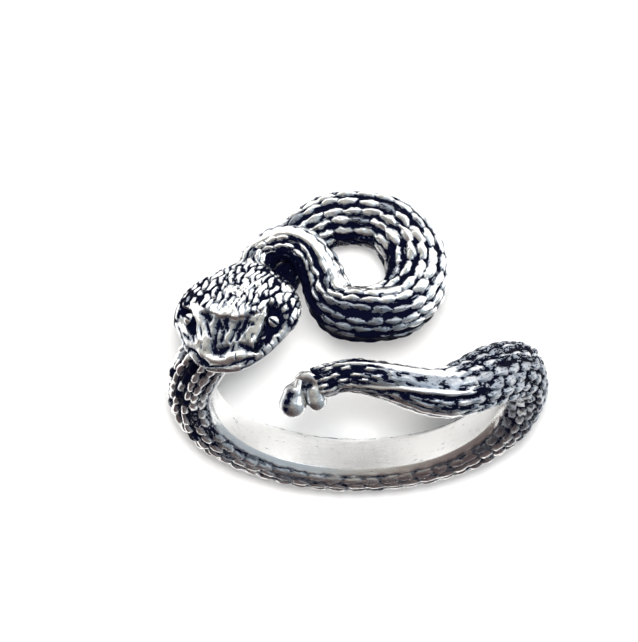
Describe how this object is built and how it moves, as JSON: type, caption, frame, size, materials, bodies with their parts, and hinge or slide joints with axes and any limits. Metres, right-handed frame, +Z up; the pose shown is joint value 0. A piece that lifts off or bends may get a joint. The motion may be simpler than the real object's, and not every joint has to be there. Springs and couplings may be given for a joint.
{
  "type": "snake ring",
  "caption": "Cast finger ring in the form of a viper: scaled body round the finger, loop on the crown, neck arched back over the body, broad head and rattle tail.",
  "frame": {"origin": "centre of the bounding box's base, on the table the ring lies on; the finger hole's centre is the mount finger_hole", "axes": "+Z up from the table, close to the finger's direction, which leans 16.5 degrees towards +Y; +Y towards the head and the loop on the crown; +X towards the head's side of the crown"},
  "size_m": [0.0232, 0.0244, 0.0139],
  "materials": {
    "silver": "antiqued silver plate: bright on the scales' tops, black in the grooves"
  },
  "bodies": {
    "root": {"snake_ring": "silver"}
  },
  "joints": []
}
